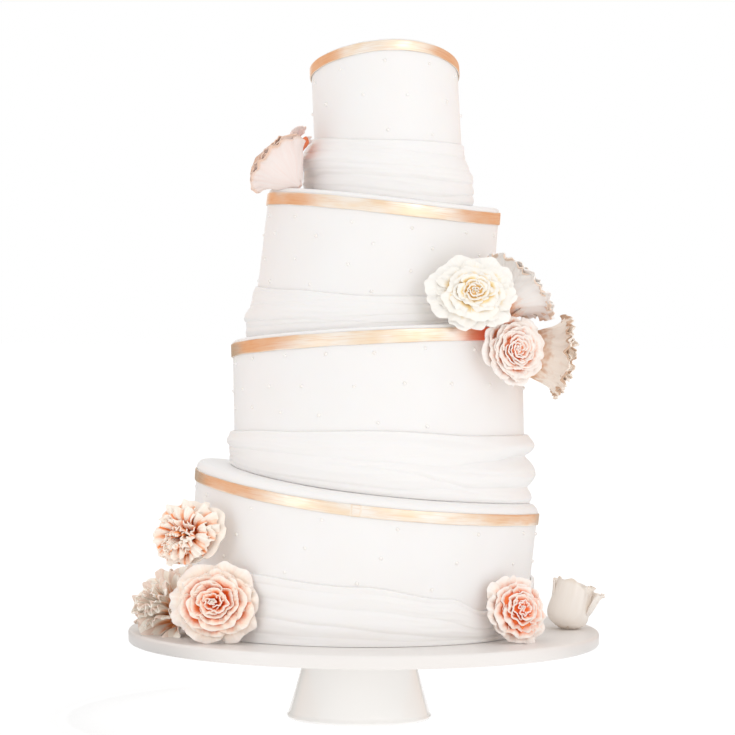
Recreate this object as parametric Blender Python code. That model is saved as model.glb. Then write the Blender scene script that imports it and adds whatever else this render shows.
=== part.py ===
"""Four-tier topsy-turvy wedding cake with gold bands, draped swags and sugar flowers, on a pedestal stand.

Units are metres, +Z is up and -Y is the front. The origin is the centre of the foot's underside.
Every tier is an oblique cone frustum with a slanting top, and the next tier stands on that slanting top.
"""

from collections import namedtuple
import math

import bmesh
import bpy
from mathutils import Matrix, Vector

# --- Driving dimensions -------------------------------------------------------------------------

SEGMENTS = 40  # steps round the stand, tiers, bands and drapes
PETAL_STEPS = 20  # steps round a flower
CLEARANCE = 0.0003  # gap between pieces that touch

FOOT_HEIGHT = 0.0770
FOOT_BASE_RADIUS = 0.0735
FOOT_TOP_RADIUS = 0.0525
FOOT_EDGE = 0.0030

PLATE_THICKNESS = 0.0135
PLATE_RADIUS = 0.2385
PLATE_EDGE = 0.0025
PLATE_SHIFT = 0.0040  # the plate sits this far to the right of its foot

BAND_THICKNESS = 0.0013
EDGE_STEPS = 3  # rings in the rounded top edge of a tier
UNDERSIDE_HOLLOW = 0.0012

# All places on the cake are measured from the middle of the plate's top.
# x, y, height and radius are taken at the upper edge of the gold band. slope_x and slope_y tilt the
# top, warp_a and warp_b bend it into a shallow saddle, lean_x and lean_y shift the axis for each
# metre of height, taper widens the wall upwards, lip is the icing above the band and edge its rounding.
Tier = namedtuple(
    "Tier",
    "x y height radius slope_x slope_y warp_a warp_b lean_x lean_y taper lip edge band_width",
)
TIERS = {
    4: Tier(0.0026, 0.0030, 0.1362, 0.1749, -0.127, -0.018, 0.0039, -0.0022,
            0.085, 0.010, 0.020, 0.0095, 0.0085, 0.0112),
    3: Tier(0.0113, 0.0040, 0.2953, 0.1472, 0.060, -0.058, 0.0001, 0.0002,
            -0.028, 0.020, 0.004, 0.0035, 0.0030, 0.0130),
    2: Tier(0.0167, 0.0060, 0.4323, 0.1176, -0.075, 0.023, -0.0003, 0.0017,
            0.090, -0.010, -0.025, 0.0045, 0.0040, 0.0122),
    1: Tier(0.0159, 0.0080, 0.5709, 0.0744, 0.027, -0.243, -0.0019, -0.0017,
            -0.055, 0.030, -0.006, 0.0018, 0.0016, 0.0102),
}

# thickness is how far the gathered icing stands out, and crest is the height of its upper edge at
# each bearing in degrees (-90 is the front, 0 the right).
Drape = namedtuple("Drape", "thickness crest")
DRAPES = {
    4: Drape(0.0080, {-180: 0.071, -135: 0.068, -90: 0.058, -60: 0.045, -45: 0.031, -20: 0.042,
                      0: 0.054, 45: 0.063, 90: 0.057, 135: 0.065}),
    3: Drape(0.0105, {-180: 0.200, -135: 0.204, -90: 0.2065, -45: 0.201, 0: 0.199, 60: 0.195,
                      120: 0.203}),
    2: Drape(0.0085, {-180: 0.347, -135: 0.343, -90: 0.337, -45: 0.337, 0: 0.341, 60: 0.337,
                      120: 0.349}),
    1: Drape(0.0120, {-180: 0.496, -90: 0.492, 0: 0.491, 90: 0.485}),
}
# Share of the thickness at equal steps up a drape, from its foot to its upper edge.
DRAPE_PROFILE = (0.55, 0.95, 1.00, 0.60, 0.85, 0.25)

# place is the middle of the rim, facing the way the flower looks, radius its widest, tall the share of
# the radius across the steeper direction, back the depth of the calyx and dome the height of the face.
Flower = namedtuple("Flower", "kind place facing radius tall back dome petals frill")
FLOWERS = {
    "rose_blush_top": Flower(
        "rose", (-0.0950, -0.040, 0.4774), (-0.66, 0.34, 0.67), 0.0335, 1.00, 0.035, 0.010, 5, 0.10),
    "rose_white_middle": Flower(
        "rose", (0.1035, -0.128, 0.3405), (0.12, -0.96, 0.22), 0.0445, 0.79, 0.026, 0.017, 5, 0.09),
    "flower_champagne_upper": Flower(
        "trumpet", (0.1530, -0.066, 0.3500), (0.70, 0.30, 0.64), 0.046, 0.90, 0.032, 0.008, 5, 0.10),
    "rose_blush_middle": Flower(
        "rose", (0.1440, -0.108, 0.2855), (0.50, -0.86, 0.10), 0.0365, 0.98, 0.022, 0.015, 5, 0.09),
    "flower_champagne_lower": Flower(
        "trumpet", (0.1970, -0.046, 0.2780), (0.97, 0.06, -0.10), 0.046, 0.92, 0.037, 0.008, 5, 0.10),
    "carnation_peach": Flower(
        "rose", (-0.1725, -0.117, 0.1045), (-0.45, -0.80, 0.40), 0.0400, 0.92, 0.026, 0.020, 5, 0.12),
    "rose_peach_left": Flower(
        "rose", (-0.1435, -0.154, 0.0395), (-0.20, -0.96, 0.18), 0.0460, 0.84, 0.016, 0.018, 5, 0.09),
    "flower_mauve": Flower(
        "rose", (-0.2045, -0.066, 0.0350), (-0.68, -0.45, 0.58), 0.0390, 0.94, 0.018, 0.020, 5, 0.12),
    "rose_peach_right": Flower(
        "rose", (0.1490, -0.121, 0.0320), (0.58, -0.77, 0.27), 0.0350, 0.92, 0.016, 0.015, 5, 0.09),
    "flower_ivory": Flower(
        "trumpet", (0.2150, 0.012, 0.0440), (0.20, 0.04, 0.97), 0.0300, 1.00, 0.043, 0.006, 5, 0.11),
}
# Rings of a flower from its calyx to its face: share of the radius, share of the depth behind the rim
# (negative) or of the dome in front of it (positive), and how strongly the petals show there. On a rose
# each whorl is a raised edge with a crevice inside it.
FLOWER_RINGS = {
    "rose": ((0.34, -0.96, 0.2), (0.74, -0.60, 0.6), (1.00, -0.04, 1.0), (0.93, 0.45, 1.0),
             (0.79, 0.20, 0.8), (0.69, 0.76, 0.9), (0.55, 0.50, 0.7), (0.43, 1.00, 0.8),
             (0.29, 0.74, 0.5), (0.16, 1.04, 0.4)),
    "trumpet": ((0.30, -1.00, 0.1), (0.46, -0.78, 0.3), (0.62, -0.42, 0.5), (0.86, -0.14, 0.8),
                (1.00, 0.20, 1.0), (0.88, 0.12, 1.0), (0.64, 0.55, 0.6), (0.42, 0.30, 0.5),
                (0.20, 0.90, 0.2)),
}
FLOWER_FACE = {"rose": 0.82, "trumpet": 0.70}  # height of the face's centre as a share of the dome

WHORL_TURN = 0.55  # radians that each whorl is turned from the one outside it

COLOURS = {
    "fondant": ((0.93, 0.91, 0.88), 0.55, 0.0),
    "gold": ((0.85, 0.58, 0.34), 0.35, 0.8),
    "ceramic": ((0.86, 0.86, 0.86), 0.15, 0.0),
    "blush": ((0.93, 0.72, 0.64), 0.60, 0.0),
    "white_petal": ((0.95, 0.93, 0.88), 0.60, 0.0),
    "champagne": ((0.80, 0.68, 0.58), 0.60, 0.0),
    "peach": ((0.93, 0.66, 0.50), 0.60, 0.0),
    "mauve": ((0.66, 0.54, 0.48), 0.60, 0.0),
    "ivory": ((0.86, 0.80, 0.72), 0.60, 0.0),
}
FLOWER_COLOURS = {
    "rose_blush_top": "blush",
    "rose_white_middle": "white_petal",
    "flower_champagne_upper": "champagne",
    "rose_blush_middle": "blush",
    "flower_champagne_lower": "champagne",
    "carnation_peach": "peach",
    "rose_peach_left": "peach",
    "flower_mauve": "mauve",
    "rose_peach_right": "peach",
    "flower_ivory": "ivory",
}


# --- Building closed meshes from rings ----------------------------------------------------------


def clear_scene():
    for item in list(bpy.data.objects):
        bpy.data.objects.remove(item)


def material(name):
    colour, roughness, metallic = COLOURS[name]
    made = bpy.data.materials.new(name)
    made.use_nodes = True
    shader = made.node_tree.nodes["Principled BSDF"]
    shader.inputs["Base Color"].default_value = (*colour, 1.0)
    shader.inputs["Roughness"].default_value = roughness
    shader.inputs["Metallic"].default_value = metallic
    return made


def add_object(name, bm, finish, parent):
    """Turns a bmesh into a smooth-shaded object with one material."""
    bmesh.ops.recalc_face_normals(bm, faces=bm.faces)
    mesh = bpy.data.meshes.new(name)
    bm.to_mesh(mesh)
    bm.free()
    mesh.shade_smooth()
    mesh.set_sharp_from_angle(angle=math.radians(40))
    mesh.materials.append(finish)
    item = bpy.data.objects.new(name, mesh)
    bpy.context.scene.collection.objects.link(item)
    item.parent = parent
    return item


def join_rings(bm, lower, upper):
    """Two triangles for each step between two rings of equal count."""
    count = len(lower)
    for i in range(count):
        j = (i + 1) % count
        bm.faces.new((lower[i], lower[j], upper[j]))
        bm.faces.new((lower[i], upper[j], upper[i]))


def close_ring(bm, ring, centre):
    """A fan of triangles from a ring to one centre point."""
    pole = bm.verts.new(centre)
    for i in range(len(ring)):
        bm.faces.new((ring[i], ring[(i + 1) % len(ring)], pole))


def solid_from_rings(name, rings, start, end, finish, parent):
    """A solid lofted through rings, closed by a fan at each end."""
    bm = bmesh.new()
    rows = [[bm.verts.new(point) for point in ring] for ring in rings]
    for lower, upper in zip(rows, rows[1:]):
        join_rings(bm, lower, upper)
    close_ring(bm, rows[0], start)
    close_ring(bm, rows[-1], end)
    return add_object(name, bm, finish, parent)


def hoop_from_rings(name, rings, finish, parent):
    """A closed hoop: the last ring joins the first."""
    bm = bmesh.new()
    rows = [[bm.verts.new(point) for point in ring] for ring in rings]
    for lower, upper in zip(rows, rows[1:] + rows[:1]):
        join_rings(bm, lower, upper)
    return add_object(name, bm, finish, parent)


def bearings(count):
    return [2 * math.pi * i / count for i in range(count)]


def round_ring(radius, height):
    return [Vector((radius * math.cos(a), radius * math.sin(a), height)) for a in bearings(SEGMENTS)]


# --- Tier geometry ------------------------------------------------------------------------------


def wall_point(tier, angle, z, offset=0.0):
    """A point on the oblique cone of the tier's wall, moved out by offset."""
    rise = z - tier.height
    radius = tier.radius + tier.taper * rise + offset
    x = tier.x + tier.lean_x * rise + radius * math.cos(angle)
    y = tier.y + tier.lean_y * rise + radius * math.sin(angle)
    return Vector((x, y, z))


def slant(tier, x, y):
    """Height of a tier's slanting plane at the band's upper edge, bent into a shallow saddle."""
    across, along = x - tier.x, y - tier.y
    turn = 2 * math.atan2(along, across)
    saddle = tier.warp_a * math.cos(turn) + tier.warp_b * math.sin(turn)
    tilt = tier.slope_x * across + tier.slope_y * along
    return tier.height + tilt + saddle * math.hypot(across, along) / tier.radius


def ground(level, x, y):
    """Height of what the tier of this level stands on: the plate, or the slanting top below it."""
    if level + 1 not in TIERS:
        return 0.0
    below = TIERS[level + 1]
    return slant(below, x, y) + below.lip


def settle(tier, angle, offset, surface):
    """The point where the wall, moved out by offset, meets a surface given as height from x and y."""
    z = tier.height
    for _ in range(8):
        point = wall_point(tier, angle, z, offset)
        z = surface(point.x, point.y)
    return wall_point(tier, angle, z, offset)


def band_line(tier, angle, offset=0.0):
    """A point on the upper edge of the gold band."""
    return settle(tier, angle, offset, lambda x, y: slant(tier, x, y))


def foot_line(level, angle, offset=0.0):
    """A point just above where the wall, moved out by offset, meets what the tier stands on."""
    return settle(TIERS[level], angle, offset, lambda x, y: ground(level, x, y) + CLEARANCE)


def build_tier(level, finish, parent):
    """Wall, rounded top edge and slanting top. The underside is slightly hollow, so only its rim rests."""
    tier = TIERS[level]
    angles = bearings(SEGMENTS)
    rings = [[foot_line(level, a) for a in angles]]
    for step in range(EDGE_STEPS + 1):
        turn = math.pi / 2 * step / EDGE_STEPS
        inward = tier.edge * (1 - math.cos(turn))
        rise = tier.lip - tier.edge * (1 - math.sin(turn))
        rings.append([band_line(tier, a, -inward) + Vector((0, 0, rise)) for a in angles])
    middle = Vector((tier.x, tier.y, tier.height + tier.lip))
    foot = (foot_line(level, 0.0) + foot_line(level, math.pi)) / 2
    foot.z = ground(level, foot.x, foot.y) + CLEARANCE + UNDERSIDE_HOLLOW
    return solid_from_rings(f"tier_{level}", rings, foot, middle, finish, parent)


def build_band(level, finish, parent):
    """The gold strip: a thin hoop just clear of the wall, its upper edge along the band line."""
    tier = TIERS[level]
    inner, outer = CLEARANCE, CLEARANCE + BAND_THICKNESS
    corners = ((-tier.band_width, inner), (-tier.band_width, outer), (0.0, outer), (0.0, inner))
    rings = []
    for rise, offset in corners:
        edge = [band_line(tier, a).z + rise for a in bearings(SEGMENTS)]
        rings.append([wall_point(tier, a, z, offset) for a, z in zip(bearings(SEGMENTS), edge)])
    return hoop_from_rings(f"gold_band_{level}", rings, finish, parent)


# --- Drapes -------------------------------------------------------------------------------------


def crest_height(drape, angle):
    """Height of a drape's upper edge at a bearing, eased with a cosine between its stations."""
    degrees = (math.degrees(angle) + 180) % 360 - 180
    stations = sorted(drape.crest.items())
    stations.append((stations[0][0] + 360, stations[0][1]))
    for (start, low), (end, high) in zip(stations, stations[1:]):
        if start <= degrees <= end:
            ease = (1 - math.cos(math.pi * (degrees - start) / (end - start))) / 2
            return low + ease * (high - low)
    return stations[0][1]


def fold_swell(level, angle, share):
    """Slow swelling of the folds round a drape, from 0.8 to 1.2 of their thickness."""
    return 1 + 0.12 * math.sin(3 * angle + 2.1 * level + 4 * share) + 0.08 * math.sin(7 * angle - 5 * share)


def build_drape(level, finish, parent):
    """A gathered swag of icing round a tier's foot, from what the tier stands on to the crest line."""
    tier, drape = TIERS[level], DRAPES[level]
    angles = bearings(SEGMENTS)
    last = len(DRAPE_PROFILE) - 1
    rings = [[foot_line(level, a, CLEARANCE) for a in angles]]
    for step, part in enumerate(DRAPE_PROFILE):
        share = step / last
        ring = []
        for a in angles:
            offset = CLEARANCE + drape.thickness * part * fold_swell(level, a, share)
            foot = foot_line(level, a, offset).z
            z = foot + share * (crest_height(drape, a) - foot)
            ring.append(wall_point(tier, a, z, offset))
        rings.append(ring)
    rings.append([wall_point(tier, a, crest_height(drape, a) - 0.001, CLEARANCE) for a in angles])
    return hoop_from_rings(f"drape_{level}", rings, finish, parent)


# --- Stand --------------------------------------------------------------------------------------


def build_foot(finish, parent):
    """A plain conical foot with a rounded lower edge."""
    top = FOOT_HEIGHT - CLEARANCE
    slope = (FOOT_BASE_RADIUS - FOOT_TOP_RADIUS) / FOOT_HEIGHT
    rings = [
        round_ring(FOOT_BASE_RADIUS - FOOT_EDGE, 0.0),
        round_ring(FOOT_BASE_RADIUS - 0.3 * FOOT_EDGE, 0.3 * FOOT_EDGE),
        round_ring(FOOT_BASE_RADIUS - slope * 1.5 * FOOT_EDGE, 1.5 * FOOT_EDGE),
        round_ring(FOOT_TOP_RADIUS, top),
    ]
    return solid_from_rings("stand_foot", rings, Vector((0, 0, 0)), Vector((0, 0, top)), finish, parent)


def build_plate(finish, parent):
    """A flat round plate with softened edges, hung below the level that the cake stands on."""
    rings = [
        round_ring(PLATE_RADIUS - PLATE_EDGE, -PLATE_THICKNESS),
        round_ring(PLATE_RADIUS, PLATE_EDGE - PLATE_THICKNESS),
        round_ring(PLATE_RADIUS, -PLATE_EDGE),
        round_ring(PLATE_RADIUS - PLATE_EDGE, 0.0),
    ]
    low, high = Vector((0, 0, -PLATE_THICKNESS)), Vector((0, 0, 0))
    return solid_from_rings("stand_plate", rings, low, high, finish, parent)


# --- Flowers ------------------------------------------------------------------------------------


def facing_matrix(facing):
    """Rotation that turns +Z to the facing direction and keeps +X level."""
    forward = Vector(facing).normalized()
    side = Vector((0, 0, 1)).cross(forward).normalized()
    return Matrix((side, forward.cross(side), forward)).transposed().to_4x4()


def build_flower(name, finish, parent):
    """Whorls of petals as rings from the calyx to the face, scalloped and frilled round the rim."""
    flower = FLOWERS[name]
    turn = facing_matrix(flower.facing)
    place = Vector(flower.place)

    def put(x, y, z):
        return place + turn @ Vector((x, y, z))

    rings = []
    for number, (share, depth, strength) in enumerate(FLOWER_RINGS[flower.kind]):
        height = depth * (flower.back if depth < 0 else flower.dome)
        ring = []
        for a in bearings(PETAL_STEPS):
            turned = flower.petals * (a + WHORL_TURN * (number // 2))
            scallop = abs(math.sin(turned / 2)) - 0.6
            radius = flower.radius * share * (1 + flower.frill * strength * scallop)
            frill = 0.35 * flower.frill * strength * flower.radius * math.cos(turned)
            ring.append(put(radius * math.cos(a), flower.tall * radius * math.sin(a), height + frill))
        rings.append(ring)
    start = put(0, 0, -flower.back)
    end = put(0, 0, FLOWER_FACE[flower.kind] * flower.dome)
    return solid_from_rings(name, rings, start, end, finish, parent)


# --- The whole cake -----------------------------------------------------------------------------


def add_empty(name, location, parent):
    made = bpy.data.objects.new(name, None)
    made.location = location
    made.parent = parent
    bpy.context.scene.collection.objects.link(made)
    return made


def main():
    clear_scene()
    stand = add_empty("stand_origin", (0, 0, 0), None)
    cake = add_empty("plate_top_origin", (PLATE_SHIFT, 0, FOOT_HEIGHT + PLATE_THICKNESS), stand)
    finishes = {name: material(name) for name in COLOURS}
    build_foot(finishes["ceramic"], stand)
    build_plate(finishes["ceramic"], cake)
    for level in TIERS:
        build_tier(level, finishes["fondant"], cake)
        build_band(level, finishes["gold"], cake)
        build_drape(level, finishes["fondant"], cake)
    for name, colour in FLOWER_COLOURS.items():
        build_flower(name, finishes[colour], cake)


main()
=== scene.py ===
"""Builds the finished look of a four-tier topsy-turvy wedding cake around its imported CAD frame.

It is laid out as an add-on: one operator for each piece or group of like pieces, a panel that lists
them, and a main function that runs them in order. Lengths are metres, +Z is up and -Y is the front.
"""

import math
from collections import namedtuple

import bpy
import numpy as np
from bpy.props import FloatProperty, FloatVectorProperty, IntProperty, PointerProperty
from bpy.types import Operator, Panel, PropertyGroup
from mathutils import Matrix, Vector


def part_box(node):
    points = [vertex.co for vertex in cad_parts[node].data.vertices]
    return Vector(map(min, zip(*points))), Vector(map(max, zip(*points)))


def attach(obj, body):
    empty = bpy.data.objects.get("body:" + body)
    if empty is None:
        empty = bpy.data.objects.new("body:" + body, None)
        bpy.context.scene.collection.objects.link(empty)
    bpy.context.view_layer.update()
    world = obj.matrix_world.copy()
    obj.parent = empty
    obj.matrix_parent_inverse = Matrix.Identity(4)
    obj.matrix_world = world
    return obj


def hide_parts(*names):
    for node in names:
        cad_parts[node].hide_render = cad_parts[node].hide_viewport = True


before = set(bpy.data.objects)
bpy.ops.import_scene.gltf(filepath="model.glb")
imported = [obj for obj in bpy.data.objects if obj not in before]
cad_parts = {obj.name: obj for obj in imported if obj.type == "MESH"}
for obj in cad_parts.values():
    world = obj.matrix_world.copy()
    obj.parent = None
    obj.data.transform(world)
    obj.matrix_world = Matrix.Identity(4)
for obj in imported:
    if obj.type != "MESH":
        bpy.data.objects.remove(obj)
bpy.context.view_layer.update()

bl_info = {
    "name": "Tiered Wedding Cake",
    "version": (1, 0, 0),
    "blender": (4, 2, 0),
    "location": "3D View > Sidebar > Wedding Cake",
    "description": "Iced tiers, gold strips, fondant swags, sugar pearls and sugar flowers on a stand",
    "category": "Add Mesh",
}

BODY = "root"

# --- Sizes shared with the CAD solids ---

PLATE_LOW, PLATE_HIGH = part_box("stand_plate")
FOOT_LOW, FOOT_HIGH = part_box("stand_foot")
# The middle of the plate's top, from which all places on the cake are measured.
PLATE_TOP = np.array([(PLATE_LOW.x + PLATE_HIGH.x) / 2, (PLATE_LOW.y + PLATE_HIGH.y) / 2, PLATE_HIGH.z])
PLATE_RADIUS = (PLATE_HIGH.y - PLATE_LOW.y) / 2
PLATE_THICKNESS = PLATE_HIGH.z - PLATE_LOW.z
FOOT_BASE_RADIUS = 0.0735
FOOT_TOP_RADIUS = 0.0525

CLEARANCE = 0.0003  # gap between pieces that touch
UNDERSIDE_HOLLOW = 0.0012

# x, y, height and radius are taken at the upper edge of the gold strip. slope_x and slope_y tilt the
# top, warp_a and warp_b bend it into a shallow saddle, lean_x and lean_y shift the axis for each
# metre of height, taper widens the wall upwards, lip is the icing above the strip and edge its rounding.
Tier = namedtuple(
    "Tier",
    "x y height radius slope_x slope_y warp_a warp_b lean_x lean_y taper lip edge band_width",
)
TIERS = {
    4: Tier(0.0026, 0.0030, 0.1362, 0.1749, -0.127, -0.018, 0.0039, -0.0022,
            0.085, 0.010, 0.020, 0.0095, 0.0085, 0.0112),
    3: Tier(0.0113, 0.0040, 0.2953, 0.1472, 0.060, -0.058, 0.0001, 0.0002,
            -0.028, 0.020, 0.004, 0.0035, 0.0030, 0.0130),
    2: Tier(0.0167, 0.0060, 0.4323, 0.1176, -0.075, 0.023, -0.0003, 0.0017,
            0.090, -0.010, -0.025, 0.0045, 0.0040, 0.0122),
    1: Tier(0.0159, 0.0080, 0.5709, 0.0744, 0.027, -0.243, -0.0019, -0.0017,
            -0.055, 0.030, -0.006, 0.0018, 0.0016, 0.0102),
}

# --- Swags ---

# crest is the height of a swag's upper edge at each bearing in degrees (-90 is the front, 0 the right).
# A roll is a soft swelling and a crease a sharp valley. Each runs round the tier through stations,
# bearing: (share of the height from foot to crest, millimetres out or in), and has a width in
# millimetres. skin is the thickness of the icing where there is neither.
Swag = namedtuple("Swag", "crest skin rolls creases ripple")
SWAGS = {
    4: Swag(
        {-180: 0.071, -135: 0.068, -90: 0.058, -60: 0.045, -45: 0.031, -20: 0.042,
         0: 0.054, 45: 0.063, 90: 0.057, 135: 0.065},
        2.0,
        ((15.0, {-180: (0.76, 4.0), -100: (0.78, 2.6), -50: (0.75, 2.4), 0: (0.74, 3.2), 90: (0.78, 3.6)}),
         (14.0, {-180: (0.30, 5.5), -100: (0.36, 4.6), -50: (0.30, 4.6), 0: (0.26, 5.6), 90: (0.32, 5.2)})),
        ((5.0, {-180: (0.70, 1.8), -120: (0.68, 0.9), -86: (0.61, 1.2), -67: (0.58, 1.6), -50: (0.42, 1.6),
                -10: (0.52, 2.4), 40: (0.60, 1.4), 110: (0.64, 2.0)}),
         (4.5, {-180: (0.42, 1.6), -121: (0.40, 1.8), -101: (0.35, 1.8), -76: (0.24, 1.5), -56: (0.16, 1.2),
                0: (0.30, 1.6), 60: (0.36, 1.2), 120: (0.44, 1.8)}),
         (3.5, {-180: (0.86, 0.7), -105: (0.88, 0.9), -60: (0.90, 0.9), -40: (0.80, 1.1), 0: (0.84, 1.2),
                90: (0.88, 0.8)}),
         (4.0, {-180: (0.18, 1.2), -100: (0.15, 0.9), -70: (0.10, 0.7), -20: (0.14, 1.2), 80: (0.16, 1.0)})),
        0.22,
    ),
    3: Swag(
        {-180: 0.200, -135: 0.204, -90: 0.2065, -45: 0.201, 0: 0.199, 60: 0.195, 120: 0.203},
        1.8,
        ((9.0, {-180: (0.72, 4.5), -120: (0.78, 3.0), -60: (0.78, 3.4), -25: (0.84, 6.5), 0: (0.84, 8.5),
                40: (0.80, 6.0), 120: (0.76, 5.0)}),
         (13.0, {-180: (0.35, 3.5), -120: (0.34, 4.6), -60: (0.36, 5.5), -25: (0.42, 8.0), 0: (0.45, 9.5),
                 40: (0.42, 7.0), 120: (0.36, 5.5)}),
         (7.0, {-180: (0.08, 2.0), -90: (0.06, 3.6), 0: (0.08, 5.0), 90: (0.08, 4.0)})),
        ((4.5, {-180: (0.54, 2.4), -116: (0.56, 1.2), -90: (0.53, 1.8), -68: (0.52, 1.9), -46: (0.61, 2.2),
                -25: (0.68, 5.0), 0: (0.69, 8.0), 25: (0.66, 5.0), 90: (0.56, 2.6)}),
         (4.0, {-180: (0.26, 1.4), -130: (0.40, 0.3), -94: (0.44, 1.4), -79: (0.39, 1.9), -66: (0.29, 2.3),
                -55: (0.22, 2.4), -22: (0.24, 2.6), 20: (0.24, 2.6), 100: (0.30, 1.8)}),
         (3.0, {-180: (0.40, 0.4), -75: (0.46, 0.2), -56: (0.44, 1.4), -40: (0.42, 1.2), -20: (0.46, 0.6),
                60: (0.44, 1.0)}),
         (3.5, {-180: (0.12, 0.6), -140: (0.10, 1.0), -105: (0.13, 1.8), -83: (0.12, 1.8), -66: (0.19, 1.2),
                -40: (0.10, 0.6), 60: (0.12, 1.0)})),
        0.28,
    ),
    2: Swag(
        {-180: 0.347, -135: 0.343, -90: 0.337, -45: 0.337, 0: 0.341, 60: 0.337, 120: 0.349},
        1.7,
        ((9.0, {-180: (0.80, 2.0), -90: (0.74, 1.6), 0: (0.78, 3.0), 90: (0.76, 3.2)}),
         (12.0, {-180: (0.42, 8.0), -150: (0.42, 5.0), -90: (0.36, 3.2), 0: (0.36, 5.0), 90: (0.38, 5.0)}),
         (6.0, {-180: (0.12, 3.0), -90: (0.12, 2.6), 0: (0.12, 4.0), 90: (0.12, 4.0)})),
        ((3.5, {-180: (0.62, 1.4), -130: (0.72, 0.6), -100: (0.84, 0.7), -74: (0.72, 0.9), -30: (0.66, 1.4),
                60: (0.62, 1.8)}),
         (3.0, {-180: (0.33, 1.6), -157: (0.34, 1.6), -124: (0.32, 1.5), -105: (0.24, 1.1), -80: (0.12, 0.8),
                -20: (0.26, 1.4), 90: (0.30, 1.8)}),
         (2.6, {-180: (0.22, 0.5), -124: (0.22, 1.0), -109: (0.21, 0.8), -85: (0.40, 0.5), -30: (0.46, 1.0),
                90: (0.48, 1.4)})),
        0.26,
    ),
    1: Swag(
        {-180: 0.496, -90: 0.492, 0: 0.491, 90: 0.485},
        1.8,
        ((16.0, {-180: (0.56, 13.5), -120: (0.52, 5.5), -90: (0.50, 5.0), 0: (0.42, 8.0), 90: (0.46, 6.5),
                 150: (0.52, 8.0)}),
         (11.0, {-180: (0.10, 10.5), -120: (0.08, 4.4), -90: (0.08, 4.2), 0: (0.08, 6.0), 90: (0.10, 5.0),
                 150: (0.10, 6.0)})),
        ((3.6, {-180: (0.70, 1.5), -121: (0.80, 1.0), -83: (0.85, 1.1), -61: (0.80, 1.5), -28: (0.78, 1.4),
                60: (0.74, 1.6), 120: (0.70, 1.4)}),
         (3.2, {-180: (0.52, 1.2), -140: (0.56, 0.8), -96: (0.56, 1.0), -54: (0.57, 1.2), -31: (0.57, 1.2),
                90: (0.52, 1.6)}),
         (3.4, {-180: (0.20, 1.4), -157: (0.27, 1.4), -140: (0.33, 1.2), -107: (0.36, 1.0), -70: (0.37, 1.6),
                -30: (0.36, 1.8), 30: (0.32, 1.4), 120: (0.26, 1.6)}),
         (3.0, {-180: (0.38, 0.9), -140: (0.43, 1.0), -100: (0.46, 0.5), -40: (0.46, 0.6), 60: (0.42, 1.2)}),
         (3.0, {-180: (0.10, 1.0), -120: (0.12, 0.6), -63: (0.10, 1.0), -15: (0.17, 2.2), 60: (0.12, 1.4)})),
        0.36,
    ),
}

# --- Sugar pearls ---

# Tier: how many stand in each row, and the rows. A row is the bearing from which they are spread
# evenly, the way down from the gold strip's upper edge, how much flatter than the strip the row runs and
# how far it falls from left to right.
PEARL_ROWS = {
    1: (10, ((-90, 0.0175, 0.15, 0.0), (-72, 0.0480, 0.20, 0.001), (-90, 0.0830, 0.35, 0.0))),
    2: (12, ((-105, 0.0235, 0.0, 0.0), (-93, 0.0415, 0.0, 0.0), (-104, 0.0650, 0.0, -0.001),
             (-92, 0.0885, 0.0, 0.0))),
    3: (19, ((-90, 0.0205, 0.0, 0.001), (-100, 0.0520, 0.0, 0.006), (-91, 0.0890, 0.0, 0.025))),
    4: (14, ((-104, 0.0200, 0.0, 0.0), (-84, 0.0480, 0.0, 0.0), (-91, 0.0750, 0.0, 0.002))),
}

# --- Sugar flowers ---

# place is the middle of the rim, facing the way the flower looks, radius its widest, tall the share of
# the radius across the steeper direction, back the depth of the calyx and dome the height of the face.
Flower = namedtuple("Flower", "place facing radius tall back dome slot seed")
FLOWERS = {
    "rose_blush_top": Flower(
        (-0.0950, -0.040, 0.4735), (-0.66, 0.34, 0.67), 0.0335, 1.00, 0.0415, 0.010, "petal_blush", 11),
    "rose_white_middle": Flower(
        (0.1035, -0.128, 0.3405), (0.12, -0.96, 0.22), 0.0445, 0.79, 0.026, 0.017, "petal_white", 22),
    "flower_champagne_upper": Flower(
        (0.1530, -0.066, 0.3500), (0.70, 0.30, 0.64), 0.046, 0.96, 0.032, 0.008, "petal_champagne", 33),
    "rose_blush_middle": Flower(
        (0.1440, -0.108, 0.2855), (0.50, -0.86, 0.10), 0.0365, 0.98, 0.022, 0.015, "petal_blush", 44),
    "flower_champagne_lower": Flower(
        (0.1970, -0.046, 0.2780), (0.97, 0.06, -0.10), 0.046, 0.92, 0.037, 0.008, "petal_champagne", 55),
    "carnation_peach": Flower(
        (-0.1725, -0.116, 0.1035), (-0.45, -0.80, 0.40), 0.0400, 0.92, 0.026, 0.020, "petal_peach", 66),
    "rose_peach_left": Flower(
        (-0.1430, -0.150, 0.0395), (-0.18, -0.96, 0.18), 0.0460, 0.86, 0.018, 0.018, "petal_peach", 77),
    "flower_mauve": Flower(
        (-0.1940, -0.068, 0.0300), (-0.60, -0.52, 0.60), 0.0455, 0.98, 0.028, 0.026, "petal_mauve", 88),
    "rose_peach_right": Flower(
        (0.1490, -0.121, 0.0320), (0.58, -0.77, 0.27), 0.0360, 0.92, 0.016, 0.015, "petal_peach", 99),
    "flower_ivory": Flower(
        (0.2150, 0.012, 0.0440), (0.20, 0.04, 0.97), 0.0285, 1.00, 0.0463, 0.006, "petal_ivory", 111),
}

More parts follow.
